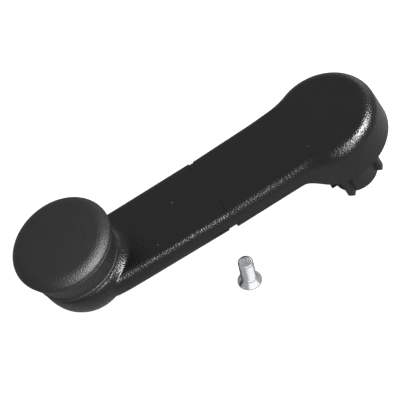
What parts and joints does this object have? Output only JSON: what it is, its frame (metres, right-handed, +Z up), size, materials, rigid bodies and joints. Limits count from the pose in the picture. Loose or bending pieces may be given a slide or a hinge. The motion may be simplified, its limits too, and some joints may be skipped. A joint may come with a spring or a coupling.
{
  "type": "window winder handle",
  "caption": "Crank handle with a round turning knob, a domed slide-off hub cover, a splined hub below and a loose countersunk fixing screw.",
  "frame": {"origin": "centre of the bounding box, at the level of the table that the handle lies on", "axes": "+Z up from the table; +X along the handle from the knob to the hub; the loose screw stands on the -Y side"},
  "size_m": [0.1502, 0.0522, 0.0466],
  "materials": {
    "black_plastic": "fine-grained moulded black plastic",
    "smooth_plastic": "smoother satin black plastic",
    "natural_plastic": "undyed slippery plastic",
    "steel": "plain machined steel",
    "bright_zinc": "bright zinc plate"
  },
  "bodies": {
    "crank": {"crank_arm": "black_plastic", "hub_insert": "steel", "knob_pin": "steel", "knob_washer": "steel", "wave_washer": "steel", "tail_washer": "steel"},
    "knob": {"knob_body": "smooth_plastic", "knob_cap": "smooth_plastic", "knob_bush": "natural_plastic"},
    "cover": {"hub_cover": "black_plastic"},
    "screw": {"fixing_screw": "bright_zinc"}
  },
  "joints": [
    {"name": "knob_spin", "type": "hinge", "parent": "crank", "child": "knob", "pos_m": [-0.05203, 0.0049, 0.0162], "axis": [-0.2387, 0, 0.9711], "continuous": true},
    {"name": "cover_slide", "type": "slide", "parent": "crank", "child": "cover", "axis": [0.9711, 0, 0.2387], "range_m": [0, 0.07]},
    {"name": "screw_lift", "type": "slide", "parent": "crank", "child": "screw", "axis": [0, 0, 1], "range_m": [0, 0.03]}
  ]
}
